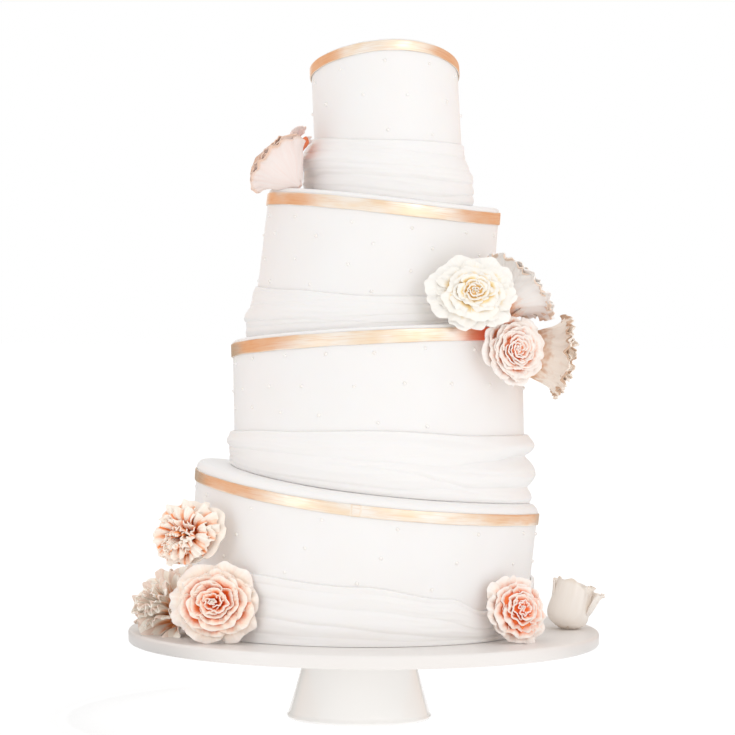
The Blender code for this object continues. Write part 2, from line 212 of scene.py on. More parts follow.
# A whorl is a ring of like petals. Lengths are shares of the flower's radius and angles are radians.
# base_r and base_z are the petal's root, rim_r and rim_z the middle of its rim and fan its half-width
# round the axis. belly is how early it swells outwards and flare how far it bends outwards only near
# its rim. cut is how much shorter it is at its sides, dent in the middle of its rim and nick here and
# there. cup brings its sides in, curl rolls the rim out and down, spiral sets one side outside the
# other and lean shifts the rim upwards. wave and crimp are the heights of the slow and the fine ruffles,
# waves and crimps about how many half-waves of them lie across the petal, gather how near the root the
# slow ones begin (1) or how far out (3), loose how much the petals differ, pale how far their colour is
# shifted towards that of the rim and fold how much deeper it is in the ruffles' valleys, seen from
# outside (minus: seen from inside).
# The deeper colour that fold lays in the ruffles' valleys is painted shade.
Whorl = namedtuple(
    "Whorl",
    "count turn base_r base_z rim_r rim_z fan belly flare cut dent nick cup curl spiral lean wave waves "
    "gather crimp crimps loose pale fold",
    defaults=(1.6, 0.5, 0.16, 0.02, 0.02, 0.08, 0.10, 0.03, 0.0, 0.03, 1.6, 2.0, 0.0, 5.0, 1.0, 0.0, 0.0),
)

# --- Colours (sRGB) ---

FONDANT_WHITE = "#F5F3F2"
PORCELAIN_WHITE = "#FBFAF8"
PLATE_WHITE = "#F0ECE9"
GOLD_PALE = "#F6EEE4"
GOLD_BRONZE = "#F3DCC0"
GOLD_DEEP = "#DDA878"
# The deep orange below is painted shade and painted reflection of the flowers on the strip beside them.
GOLD_FLOWER_SHADE = "#FF5A00"
PEARL_WHITE = "#FDFBF9"
FLOOR_WHITE = "#858483"

# deep is the colour down in the crevices, body that of the petal, edge that of its rim. Deep turns to
# body over the share fade of the petal's length, up to deep_end, edge starts at edge_start, and dabs is
# how unevenly the dust lies.
Petal = namedtuple("Petal", "deep body edge deep_end fade edge_start dabs")
PETAL_COLOURS = {
    "rose_blush_top": Petal("#F48858", "#F5E9E4", "#ECCDB8", 0.04, 0.20, 0.86, 0.1),
    "rose_white_middle": Petal("#FFDC98", "#FCF8F1", "#FDFAF5", 0.90, 0.16, 0.96, 0.2),
    "flower_champagne_upper": Petal("#F4B890", "#FFFDFA", "#F0DAC8", 0.36, 0.40, 0.92, 0.5),
    "rose_blush_middle": Petal("#FFA87A", "#FFF5ED", "#FFF9F4", 0.90, 0.24, 0.95, 0.4),
    "flower_champagne_lower": Petal("#DCA880", "#FBEFE3", "#D2B298", 0.54, 0.50, 0.90, 0.7),
    "carnation_peach": Petal("#FF9642", "#FFF4E8", "#FFF7EC", 0.86, 0.42, 0.92, 0.3),
    "rose_peach_left": Petal("#FF8440", "#FFF2E3", "#FFF7F0", 0.95, 0.34, 0.92, 0.3),
    "flower_mauve": Petal("#E89A58", "#FFFAF0", "#F2DFD2", 0.62, 0.42, 0.95, 0.2),
    "rose_peach_right": Petal("#FF8846", "#FFF3E8", "#FFF8F2", 0.95, 0.32, 0.88, 0.3),
    "flower_ivory": Petal("#EED8C4", "#FBF2E9", "#EBDDCE", 0.20, 0.20, 0.95, 0.2),
}


def linear(colour):
    """sRGB hex to linear: c/12.92 below 0.04045, else ((c + 0.055) / 1.055) to the power 2.4."""
    parts = np.array([int(colour[i:i + 2], 16) for i in (1, 3, 5)]) / 255
    return tuple(np.where(parts <= 0.04045, parts / 12.92, ((parts + 0.055) / 1.055) ** 2.4))


# --- Settings a user would change ---


def length(name, description, default, top=0.05):
    return dict(name=name, description=description, default=default, min=0.0, max=top, unit="LENGTH",
                precision=4)


def colour(name, description, default):
    return dict(name=name, description=description, default=linear(default), size=3, min=0.0, max=1.0,
                subtype="COLOR")


class CakeSizes(PropertyGroup):
    """Sizes of the finish that the CAD solids leave open."""

    foot_edge: FloatProperty(**length("Foot edge", "Rounding of the foot's lower edge", 0.0030))
    plate_edge: FloatProperty(**length("Plate edge", "Rounding of the plate's rim", 0.0032))
    strip_thickness: FloatProperty(**length("Strip thickness", "Thickness of the gold strips", 0.0013))
    strip_lap: FloatProperty(**length("Strip lap", "Length of the lap where a strip's ends meet", 0.009))
    icing_swell: FloatProperty(**length("Icing swell", "Height of the slow waves in the icing", 0.00022))
    pearl_radius: FloatProperty(**length("Pearl radius", "Radius of the sugar pearls", 0.0018))
    petal_root: FloatProperty(**length("Petal root", "Thickness of a petal at its root", 0.0016))
    petal_rim: FloatProperty(**length("Petal rim", "Thickness of a petal at its rim", 0.0010))
    steps_round: IntProperty(
        name="Steps round", description="Grid steps round a tier or a swag", default=480, min=64, max=720)
    petal_steps: IntProperty(
        name="Petal steps", description="Grid steps across a petal", default=22, min=8, max=60)


class CakeColours(PropertyGroup):
    """Colours of the icing, the stand and the strips."""

    fondant: FloatVectorProperty(**colour("Fondant", "Rolled fondant on tiers and swags", FONDANT_WHITE))
    porcelain: FloatVectorProperty(**colour("Foot", "Glazed foot of the stand", PORCELAIN_WHITE))
    plate: FloatVectorProperty(**colour("Plate", "Plate of the stand", PLATE_WHITE))
    gold_pale: FloatVectorProperty(**colour("Pale gold", "Thinly brushed lustre dust", GOLD_PALE))
    gold_bronze: FloatVectorProperty(**colour("Bronze gold", "Fully covered lustre dust", GOLD_BRONZE))
    gold_deep: FloatVectorProperty(**colour("Deep gold", "Dust gathered in the brush marks", GOLD_DEEP))
    # This colour is painted shade and painted reflection of the flowers on the strip beside them, not dust.
    gold_flower_shade: FloatVectorProperty(**colour("Heavy gold", "Unburnished dust beside the flowers", GOLD_FLOWER_SHADE))
    pearl: FloatVectorProperty(**colour("Pearl", "Sugar pearls", PEARL_WHITE))
    floor: FloatVectorProperty(**colour("Floor", "Studio floor", FLOOR_WHITE))


# --- Meshes from grids ---


def grid_faces(rows, columns, wrap_rows=False):
    """Quads between neighbouring rows of a grid whose columns run in a closed loop."""
    i = np.arange(rows if wrap_rows else rows - 1)[:, None]
    j = np.arange(columns)[None, :]
    up, on = (i + 1) % rows, (j + 1) % columns
    corners = (i * columns + j, i * columns + on, up * columns + on, up * columns + j)
    return np.stack(np.broadcast_arrays(*corners), -1).reshape(-1, 4)


def fan_faces(first, columns, pole, top):
    """Triangles from a closed row of vertices to one pole, turned to suit the quads beside them."""
    j = np.arange(columns)
    here, there = first + j, first + (j + 1) % columns
    pair = (here, there) if top else (there, here)
    return np.stack([*pair, np.full(columns, pole)], -1)


# A smooth surface shows an edge where it turns by more than these.
STAND_CREASE, STRIP_CREASE, PETAL_CREASE = (math.radians(turn) for turn in (50, 60, 55))


def add_object(name, data):
    thing = bpy.data.objects.new(name, data)
    bpy.context.scene.collection.objects.link(thing)
    return thing


def add_piece(name, points, faces, finish, nodes=(), attributes=None, sharp=None):
    """Makes the object, gives it a finish, and ties it to the frame.

    points are relative to the middle of the plate's top. Faces are turned outwards when the signed
    volume, the sum of a . (b x c) / 6 over all triangles, comes out negative.
    """
    mesh = bpy.data.meshes.new(name)
    points = np.asarray(points, float).reshape(-1, 3) + PLATE_TOP
    volume = 0.0
    for part in faces:
        for k in range(1, part.shape[1] - 1):
            a, b, c = points[part[:, 0]], points[part[:, k]], points[part[:, k + 1]]
            volume += np.einsum("ij,ij->", a, np.cross(b, c)) / 6
    if volume < 0:
        faces = [part[:, ::-1] for part in faces]
    mesh.from_pydata(points, [], [face for part in faces for face in part.tolist()])
    mesh.shade_smooth()
    if sharp is not None:
        mesh.set_sharp_from_angle(angle=sharp)
    for label, values in (attributes or {}).items():
        layer = mesh.attributes.new(label, "FLOAT_VECTOR", "POINT")
        layer.data.foreach_set("vector", np.asarray(values, np.float32).ravel())
    mesh.update()
    mesh.materials.append(finish)
    piece = add_object(name, mesh)
    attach(piece, BODY)
    if nodes:
        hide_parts(*nodes)
    return piece


def lathe(profile, columns, centre=(0.0, 0.0)):
    """A profile of (radius, height) pairs turned about an upright axis: (r cos a, r sin a, z)."""
    r, z = np.array(profile).T
    a = np.linspace(0, 2 * np.pi, columns, endpoint=False)
    x = centre[0] + r[:, None] * np.cos(a)
    y = centre[1] + r[:, None] * np.sin(a)
    return np.stack([x, y, np.broadcast_to(z[:, None], x.shape)], -1)


def closed_by_poles(rows, start, end):
    """Points and faces of a loft whose two end rows are closed by fans to a start and an end pole."""
    count, columns = rows.shape[:2]
    points = np.concatenate([rows.reshape(-1, 3), np.array([start, end], float)])
    total = count * columns
    faces = [
        grid_faces(count, columns),
        fan_faces(0, columns, total, False),
        fan_faces(total - columns, columns, total + 1, True),
    ]
    return points, faces


def corner_arc(radius, height, rounding, start, end, steps=6):
    """Points on a quarter circle of a profile, from the angle start to the angle end."""
    turn = np.linspace(start, end, steps)
    return [(radius + rounding * math.cos(t), height + rounding * math.sin(t)) for t in turn]


def around(stations, degrees):
    """Values between stations round the cake, eased with a cosine from each bearing to the next.

    With f the share of the way from one station to the next, the weight is (1 - cos(pi f)) / 2.
    """
    keys = sorted(stations)
    bearings = np.array(keys + [keys[0] + 360], float)
    values = np.array([stations[k] for k in keys] + [stations[keys[0]]], float)
    turned = (degrees - keys[0]) % 360 + keys[0]
    at = np.clip(np.searchsorted(bearings, turned, "right") - 1, 0, len(keys) - 1)
    part = (turned - bearings[at]) / (bearings[at + 1] - bearings[at])
    ease = (1 - np.cos(np.pi * part)) / 2
    if values.ndim > 1:
        ease = ease[..., None]
    return values[at] + ease * (values[at + 1] - values[at])


# --- Tier geometry, as in the CAD solids ---


def wall_point(tier, angle, z, offset=0.0):
    """A point on the oblique cone of the tier's wall, moved out by offset.

    With d = z - height, the radius is radius + taper d + offset about (x + lean_x d, y + lean_y d).
    """
    angle, z, offset = np.broadcast_arrays(angle, z, offset)
    rise = z - tier.height
    radius = tier.radius + tier.taper * rise + offset
    x = tier.x + tier.lean_x * rise + radius * np.cos(angle)
    y = tier.y + tier.lean_y * rise + radius * np.sin(angle)
    return np.stack([x, y, z], -1)


def slant(tier, x, y):
    """Height of the slanting plane: height + slope . (x, y) + (a cos 2t + b sin 2t) r / radius."""
    across, along = x - tier.x, y - tier.y
    turn = 2 * np.arctan2(along, across)
    saddle = tier.warp_a * np.cos(turn) + tier.warp_b * np.sin(turn)
    tilt = tier.slope_x * across + tier.slope_y * along
    return tier.height + tilt + saddle * np.hypot(across, along) / tier.radius


def ground(level, x, y):
    """Height of what the tier stands on: the plate, or the slanting top below it."""
    if level + 1 not in TIERS:
        return np.zeros_like(np.asarray(x, float))
    below = TIERS[level + 1]
    return slant(below, x, y) + below.lip


def settle(tier, angle, offset, surface):
    """The point where the wall, moved out by offset, meets a surface, by repeating z = surface(x, y)."""
    z = np.full(np.broadcast(angle, offset).shape, tier.height)
    for _ in range(8):
        point = wall_point(tier, angle, z, offset)
        z = surface(point[..., 0], point[..., 1])
    return wall_point(tier, angle, z, offset)


def band_line(tier, angle, offset=0.0):
    """Points on the upper edge of the gold strip."""
    return settle(tier, angle, offset, lambda x, y: slant(tier, x, y))


def foot_line(level, angle, offset=0.0):
    """Points just above where the wall, moved out by offset, meets what the tier stands on."""
    return settle(TIERS[level], angle, offset, lambda x, y: ground(level, x, y) + CLEARANCE)


def bearings(columns):
    return np.linspace(-np.pi, np.pi, columns, endpoint=False)


# --- Finishes ---

COLOUR_MIX = {"data_type": "RGBA"}
SMOOTH = {"interpolation_type": "SMOOTHSTEP"}
TIMES = {"operation": "MULTIPLY"}


def new_finish(name):
    """A node material with a Principled shader; returns the material, its tree and the shader."""
    finish = bpy.data.materials.new(name)
    finish.use_nodes = True
    return finish, finish.node_tree, finish.node_tree.nodes["Principled BSDF"]


def plug(node, **sockets):
    """Sets or links a node's inputs, by name (_ for a space) or by number (i0, i1...)."""
    for key, value in sockets.items():
        numbered = key[0] == "i" and key[1:].isdigit()
        socket = node.inputs[int(key[1:]) if numbered else key.replace("_", " ")]
        if isinstance(value, bpy.types.NodeSocket):
            node.id_data.links.new(value, socket)
        else:
            socket.default_value = value
    return node


def add_node(tree, kind, settings=None, **sockets):
    """Adds a shader node, sets its properties and plugs its inputs."""
    node = tree.nodes.new("ShaderNode" + kind)
    for key, value in (settings or {}).items():
        setattr(node, key, value)
    return plug(node, **sockets)


def rgba(colour_value):
    return (*colour_value, 1.0)


def pale_ware(name, base, shade, clouds, grain=None, gleam=None, bump=None, slow=False, **sockets):
    """A pale material whose tone drifts in soft clouds from base to base times shade.

    clouds and grain are the scale and detail of two noises. The grain, or where slow is set the clouds,
    move the roughness over gleam, and the grain stands up by bump, a strength and a distance.
    """
    finish, tree, shader = new_finish(name)
    place = add_node(tree, "TexCoord").outputs["Object"]
    cloud = add_node(tree, "TexNoise", Vector=place, Scale=clouds[0], Detail=clouds[1]).outputs["Fac"]
    tint = add_node(tree, "Mix", COLOUR_MIX, i0=cloud, i6=rgba(base), i7=rgba(np.array(base) * shade))
    plug(shader, Base_Color=tint.outputs[2], **sockets)
    if grain:
        fine = add_node(tree, "TexNoise", Vector=place, Scale=grain[0], Detail=grain[1]).outputs["Fac"]
        rough = add_node(tree, "MapRange", Value=cloud if slow else fine, i3=gleam[0], i4=gleam[1])
        raised = add_node(tree, "Bump", Strength=bump[0], Distance=bump[1], Height=fine)
        plug(shader, Roughness=rough.outputs[0], Normal=raised.outputs["Normal"])
    return finish


def rolled_fondant(colours):
    """Rolled fondant, smoothed by hand: satin, faintly see-through sugar paste.

    It gives the eye a soft warm white with a broad dull gleam, and a barely visible smoothing grain.
    """
    # 45 mm clouds where the smoother pressed harder; a 3 mm grain of sugar, drawn coarse enough to show.
    return pale_ware(
        "rolled_fondant_satin", colours.fondant, (0.975, 0.962, 0.945), (22.0, 2.0), (330.0, 3.0),
        (0.40, 0.54), (0.10, 0.0004), Subsurface_Weight=0.12, Subsurface_Radius=(1.0, 0.8, 0.6),
        Subsurface_Scale=0.002, IOR=1.46)


def glazed_porcelain(colours):
    """Glazed white porcelain of the foot: a smooth clear glaze over a white body, with small highlights."""
    # The glaze has a 12 mm orange-peel swell.
    return pale_ware("glazed_porcelain", colours.porcelain, 0.97, (14.0, 2.0), (80.0, 1.0), (0.10, 0.18),
                     (0.08, 0.0006), slow=True, IOR=1.50)


def satin_plate(colours):
    """Satin-glazed plate: the same white ware, its glaze worn to a soft, faintly mottled sheen."""
    # Cake stands carry fine dusting marks about 4 mm across.
    return pale_ware("satin_glazed_plate", colours.plate, (0.97, 0.955, 0.94), (9.0, 3.0), (250.0, 2.0),
                     (0.28, 0.42), (0.06, 0.0004), IOR=1.50)


def sugar_pearl(colours):
    """Polished sugar pearl: a hard white sugar ball with a thin pearl glaze and a tiny sharp highlight."""
    # Tone changes from pearl to pearl, about every 25 mm.
    return pale_ware("sugar_pearl_polished", colours.pearl, (0.93, 0.89, 0.84), (40.0, 0.0),
                     Roughness=0.36, Coat_Weight=0.6, Coat_Roughness=0.08, IOR=1.55)


def studio_floor(colours):
    """Backlit opal acrylic of a light table: an even pale surface that glows and takes a faint shadow."""
    return pale_ware("backlit_opal_acrylic", colours.floor, 0.99, (60.0, 2.0), Roughness=0.9,
                     Specular_IOR_Level=0.0, Emission_Color=(1.0, 1.0, 1.0, 1.0), Emission_Strength=0.85)


def lustre_gold(colours):
    """Fondant strip painted with gold lustre dust: a brushed metallic film.

    It gives the eye a peach-gold gleam with lengthwise brush marks and darker bronze where dust gathers, and
    beside the flowers a painted orange shade and reflection of them.
    """
    finish, tree, shader = new_finish("lustre_gold_brushed")
    strip = add_node(tree, "Attribute", {"attribute_name": "strip"}).outputs["Vector"]
    streaks = []
    # Brush hairs leave marks about 0.8 mm apart and 30 mm long; one loading of the brush covers 25 to 40.
    for stretch, detail, rough in (((32.0, 32.0, 1250.0), 3.0, 0.6), ((30.0, 30.0, 90.0), 2.0, 0.5)):
        at = add_node(tree, "VectorMath", TIMES, i0=strip, i1=stretch).outputs[0]
        noise = add_node(tree, "TexNoise", Vector=at, Scale=1.0, Detail=detail, Roughness=rough)
        streaks.append(noise.outputs["Fac"])
    hairs, loads = streaks
    cover = add_node(tree, "MapRange", Value=loads, i1=0.36, i2=0.66).outputs[0]
    marks = add_node(tree, "MapRange", Value=hairs, i1=0.50, i2=0.78, i4=0.55).outputs[0]
    # Painted shade and painted reflection of the flowers: beside them the strip turns deep orange and less
    # metallic.
    heavy = add_node(tree, "Attribute", {"attribute_name": "heavy"}).outputs["Vector"]
    thick = add_node(tree, "SeparateXYZ", Vector=heavy).outputs["X"]
    coat = rgba(colours.gold_pale)
    for share, tone in (
            (cover, colours.gold_bronze), (marks, colours.gold_deep), (thick, colours.gold_flower_shade)):
        coat = add_node(tree, "Mix", COLOUR_MIX, i0=share, i6=coat, i7=rgba(tone)).outputs[2]
    raised = add_node(tree, "Bump", Strength=0.35, Distance=0.0004, Height=hairs)
    plug(shader, Base_Color=coat, Normal=raised.outputs["Normal"],
         Roughness=add_node(tree, "MapRange", Value=hairs, i3=0.26, i4=0.42).outputs[0],
         Metallic=add_node(tree, "MapRange", Value=thick, i3=0.92, i4=0.10).outputs[0])
    return finish


def sugar_petal(name):
    """Gum-paste petal, dusted by hand: matt, thin and slightly see-through.

    It gives the eye a pale petal whose colour deepens down in the crevices, with painted shade in the deep
    colour along the valleys of the ruffles, and changes along the rim.
    """
    look = PETAL_COLOURS[name]
    deep, body, edge = (rgba(linear(tone)) for tone in look[:3])
    finish, tree, shader = new_finish("gum_paste_petal_" + name)
    petal = add_node(tree, "Attribute", {"attribute_name": "petal"}).outputs["Vector"]
    along = add_node(tree, "SeparateXYZ", Vector=petal).outputs["X"]
    place = add_node(tree, "TexCoord").outputs["Object"]
    # Dust goes on in 6 mm dabs, so the tones don't change along even lines.
    dabs = add_node(tree, "TexNoise", Vector=place, Scale=160.0, Detail=2.0).outputs["Fac"]
    shift = add_node(tree, "Math", {"operation": "MULTIPLY_ADD"}, i0=dabs, i1=look.dabs, i2=-look.dabs / 2)
    moved = add_node(tree, "Math", {"operation": "ADD"}, i0=along, i1=shift.outputs[0]).outputs[0]
    rise = add_node(tree, "MapRange", SMOOTH, Value=moved, i1=look.deep_end - look.fade, i2=look.deep_end)
    rim = add_node(tree, "MapRange", SMOOTH, Value=along, i1=look.edge_start, i2=1.0)
    # Every petal has its own tone, and fine veins 1.5 mm apart run from root to rim.
    veins_at = add_node(tree, "VectorMath", TIMES, i0=petal, i1=(1.2, 9.0, 7.0)).outputs[0]
    veins = add_node(tree, "TexNoise", Vector=veins_at, Scale=1.6, Detail=2.0).outputs["Fac"]
    tone = add_node(tree, "MapRange", Value=veins, i1=0.3, i2=0.7, i3=0.0, i4=0.08)
    paint = deep
    for share, next_paint in ((rise, body), (rim, edge), (tone, deep)):
        paint = add_node(tree, "Mix", COLOUR_MIX, i0=share.outputs[0], i6=paint, i7=next_paint).outputs[2]
    raised = add_node(tree, "Bump", Strength=0.25, Distance=0.0005, Height=veins)
    gleam = add_node(tree, "MapRange", Value=dabs, i3=0.50, i4=0.68)
    plug(shader, Base_Color=paint, Normal=raised.outputs["Normal"], Roughness=gleam.outputs[0],
         Subsurface_Weight=0.15, Subsurface_Radius=(1.0, 0.92, 0.86), Subsurface_Scale=0.002, IOR=1.45)
    return finish


# --- Stand ---

FOOT_COLUMNS, PLATE_COLUMNS, FOOT_ROWS = 160, 320, 24
FOOT_HOLLOW = 0.0006  # how far the cone's side draws in at half height


def turned_piece(name, profile, columns, centre, low, top, finish, node):
    """A profile turned about an upright axis, closed underneath at low and above at top."""
    points, faces = closed_by_poles(lathe(profile, columns, centre), (*centre, low), (*centre, top))
    add_piece(name, points, faces, finish, [node], sharp=STAND_CREASE)


def make_stand(sizes, colours):
    """Foot and plate, each a profile turned about its axis."""
    top, low, edge = FOOT_HIGH.z - PLATE_TOP[2], -PLATE_TOP[2], sizes.foot_edge
    profile = corner_arc(FOOT_BASE_RADIUS - edge, low + edge, edge, -math.pi / 2, 0.08)
    share = np.linspace(0.06, 1.0, FOOT_ROWS)
    side = FOOT_BASE_RADIUS + (FOOT_TOP_RADIUS - FOOT_BASE_RADIUS) * share
    profile += list(zip(side - FOOT_HOLLOW * np.sin(np.pi * share), low + (top - low) * share))
    turned_piece("pedestal_foot", profile, FOOT_COLUMNS, -PLATE_TOP[:2], low, top,
                 glazed_porcelain(colours), "stand_foot")

    edge = sizes.plate_edge
    rings = [share * PLATE_RADIUS for share in (0.30, 0.80, 0.97)]
    profile = [(ring, -PLATE_THICKNESS) for ring in rings[:2]]
    profile += corner_arc(PLATE_RADIUS - edge, edge - PLATE_THICKNESS, edge, -math.pi / 2, 0.0)
    profile += corner_arc(PLATE_RADIUS - edge, -edge, edge, 0.0, math.pi / 2)
    profile += [(ring, 0.0) for ring in rings[::-1]]
    turned_piece("serving_plate", profile, PLATE_COLUMNS, (0.0, 0.0), -PLATE_THICKNESS, 0.0,
                 satin_plate(colours), "stand_plate")


# --- Icing and strips of the tiers ---

WALL_ROWS, EDGE_ROWS, TOP_ROWS = 60, 9, 22
WALL_FADE = 0.12  # share of the height over which the wall's swell dies away at both ends
TOP_WAVE = 0.00025  # height of the waves, 0.1 m long, in a tier's top
SECTION_POINTS, SQUARENESS = 20, 0.30
HAND_CUT = 0.00018  # the strips are cut by hand, so that their width wanders
STRIP_CROWN = 0.00015
LAP_WIDER, LAP_THICKER = 0.0004, 0.65  # in metres, and as a share of the thickness
SWAG_ROWS, SWAG_SEED = 92, 500
SWAG_THINNEST = 0.7  # mm
SWAG_DEPTH = 0.004  # roughly how far out a swag's foot stands
SWAG_TUCK, SWAG_ROUNDING = 0.0022, 0.0016  # heights of the tucked-in foot and the rounded upper edge
# Bearing in degrees at which the two ends of each strip lap over.
STRIP_LAP_BEARING = {4: -95.0, 3: 62.0, 2: 118.0, 1: 96.0}
# Tier, bearing and half-width in degrees of the stretch beside the flowers where their shade and reflection
# are painted into the strip in deep orange.
STRIP_FLOWER_SHADE = (3, -33.0, 21.0)


def make_tier(level, sizes, finish):
    """Icing of one tier: wall rings, a rounded edge, and rings that shrink to the middle of the top.

    The wall swells by swell sin(2a + p) cos(3s + q) + swell sin(5a - 2s) / 2, with s the share of the
    height, fading to nothing at the foot and under the gold strip.
    """
    tier = TIERS[level]
    angle = bearings(sizes.steps_round // 2 * 2)
    foot = foot_line(level, angle)
    high = band_line(tier, angle)[:, 2] + tier.lip - tier.edge
    share = np.linspace(0, 1, WALL_ROWS)[:, None]
    z = foot[:, 2] + share * (high - foot[:, 2])
    swell = np.sin(2 * angle + 1.3 * level) * np.cos(3 * share + level) + 0.5 * np.sin(5 * angle - 2 * share)
    fade = np.clip(np.minimum(share, 1 - share) / WALL_FADE, 0, 1)
    wall = wall_point(tier, angle, z, sizes.icing_swell * swell * fade)
    turn = np.linspace(0.15, np.pi / 2, EDGE_ROWS)[:, None]
    edge = band_line(tier, angle, -tier.edge * (1 - np.cos(turn)))
    edge[..., 2] += tier.lip - tier.edge * (1 - np.sin(turn))
    centre = np.array([tier.x, tier.y])
    scale = np.linspace(0.97, 0.04, TOP_ROWS)[:, None, None]
    flat = centre + (edge[-1][None, :, :2] - centre) * scale
    wave = TOP_WAVE * np.sin(60 * flat[..., 0] + level) * np.sin(52 * flat[..., 1]) * (1 - scale[..., 0] ** 4)
    top = slant(tier, flat[..., 0], flat[..., 1]) + tier.lip + wave
    rows = np.concatenate([wall, edge, np.concatenate([flat, top[..., None]], -1)])
    middle = (foot[0] + foot[len(angle) // 2]) / 2
    middle[2] = float(ground(level, middle[0], middle[1])) + CLEARANCE + UNDERSIDE_HOLLOW
    points, faces = closed_by_poles(rows, middle, (tier.x, tier.y, tier.height + tier.lip))
    return add_piece(f"iced_tier_{level}", points, faces, finish, [f"tier_{level}"])


def make_strip(level, sizes, finish):
    """Gold strip: a rounded thin section carried round the tier along the slanting line.

    The section is a squared circle (signed cosine and sine to a small power) of the strip's width and
    thickness, a little fuller in the middle. At the lap the outer end stands out by most of a second
    thickness and fades over the lap.
    """
    tier = TIERS[level]
    angle = bearings(sizes.steps_round)
    turn = np.linspace(0, 2 * np.pi, SECTION_POINTS, endpoint=False) + np.pi / SECTION_POINTS
    waves = np.cos(turn)[:, None], np.sin(turn)[:, None]
    side, tall = (np.sign(wave) * np.abs(wave) ** SQUARENESS for wave in waves)
    round_trip = tier.radius * np.radians((np.degrees(angle) - STRIP_LAP_BEARING[level]) % 360)
    lap = np.clip(1 - round_trip / sizes.strip_lap, 0, 1) ** 0.5
    hand = HAND_CUT * (np.sin(9 * angle + level) + np.sin(17 * angle + 2 * level))
    width = tier.band_width + hand + LAP_WIDER * lap
    thick = sizes.strip_thickness * (1 + LAP_THICKER * lap)
    offset = CLEARANCE + thick / 2 + side * thick / 2 + STRIP_CROWN * (1 - tall ** 2) * (side > 0)
    rise = -tier.band_width / 2 + tall * width / 2
    rows = wall_point(tier, angle, band_line(tier, angle)[:, 2] + rise, offset)
    # The brush marks lie along the strip, and each strip and each lap has its own.
    strip = np.stack(np.broadcast_arrays(
        tier.radius * np.cos(angle), tier.radius * np.sin(angle), rise + 0.05 * (lap > 0) + 0.1 * level), -1)
    # The mask of the painted shade and painted reflection of the flowers, along the stretch beside them.
    heavy = np.zeros_like(strip)
    if level == STRIP_FLOWER_SHADE[0]:
        heavy[..., 0] = np.exp(-((np.degrees(angle) - STRIP_FLOWER_SHADE[1]) / STRIP_FLOWER_SHADE[2]) ** 4)
    faces = [grid_faces(len(turn), len(angle), wrap_rows=True)]
    return add_piece(f"gold_strip_{level}", rows, faces, finish, [f"gold_band_{level}"],
                     {"strip": strip, "heavy": heavy}, sharp=STRIP_CREASE)


def swag_offset(swag, level, angle, share, height):
    """How far a swag stands out from the wall, in metres.

    It is the skin, plus each roll e^(-(h/w)^2) times its size, minus each crease e^(-|h|/w) times its
    depth, with h the distance up or down from the roll's or crease's line and w its width, plus long
    shallow ripples sin(2 pi (n s + c sin(m a + p))). A crease's valley is a little more than half as
    wide above its line as below.
    """
    rng = np.random.default_rng(SWAG_SEED + level)
    out = np.full(np.broadcast(share, angle).shape, swag.skin)

    def fold(stations):
        line = around(stations, np.degrees(angle))
        return (share - line[:, 0]) * height * 1000, line[:, 1]

    for width, stations in swag.rolls:
        gap, size = fold(stations)
        out = out + size * np.exp(-(gap / width) ** 2)
    for lines, depth in ((4, 1.0), (7, 0.6), (12, 0.25)):
        bend = rng.uniform(0.25, 0.6) * np.sin(rng.integers(1, 4) * angle + rng.uniform(0, 6.28))
        bend = bend + 0.12 * np.sin(rng.integers(4, 8) * angle + rng.uniform(0, 6.28))
        patch = 0.55 + 0.45 * np.sin(rng.integers(2, 6) * angle + rng.uniform(0, 6.28) + 4 * share)
        out = out + swag.ripple * depth * patch * np.sin(2 * np.pi * (lines * share + bend))
    for width, stations in swag.creases:
        gap, depth = fold(stations)
        out = out - depth * np.exp(-np.abs(gap) / (width * np.where(gap > 0, 0.45, 0.8)))
    return np.maximum(out, SWAG_THINNEST) / 1000


def make_swag(level, sizes, finish):
    """Gathered swag of fondant round a tier's foot, from what the tier stands on to the crest line.

    Its outside follows swag_offset, is tucked in at the foot and ends in a rounded upper edge; its
    inside lies on the wall.
    """
    tier, swag = TIERS[level], SWAGS[level]
    angle = bearings(sizes.steps_round)
    crest = around(swag.crest, np.degrees(angle))
    share = np.linspace(0, 1, SWAG_ROWS)[:, None]
    height = crest - foot_line(level, angle, CLEARANCE + SWAG_DEPTH)[:, 2]
    tuck, round_top = (np.sqrt(1 - (1 - np.clip(run * height / reach, 0, 1)) ** 2)
                       for run, reach in ((share, SWAG_TUCK), (1 - share, SWAG_ROUNDING)))
    offset = CLEARANCE + swag_offset(swag, level, angle, share, height) * (0.95 + 0.05 * tuck) * (
        0.25 + 0.75 * round_top)
    foot = foot_line(level, angle, offset[:6])[..., 2].min(0)
    outside = wall_point(tier, angle, foot + share * (crest - foot), offset)
    top = wall_point(tier, angle, crest - 0.0005, CLEARANCE)[None]
    rows = np.concatenate([outside, top, foot_line(level, angle, CLEARANCE)[None]])
    faces = [grid_faces(len(rows), len(angle), wrap_rows=True)]
    return add_piece(f"fondant_swag_{level}", rows, faces, finish, [f"drape_{level}"])


# --- Pearls in the walls ---

PEARL_SEED = 7
PEARL_SCATTER = 1.1, 0.0011  # how far pearls stray along their row in degrees, and up or down
SWAG_GAP = 1.6  # radii from a swag's crest up to the lowest pearl


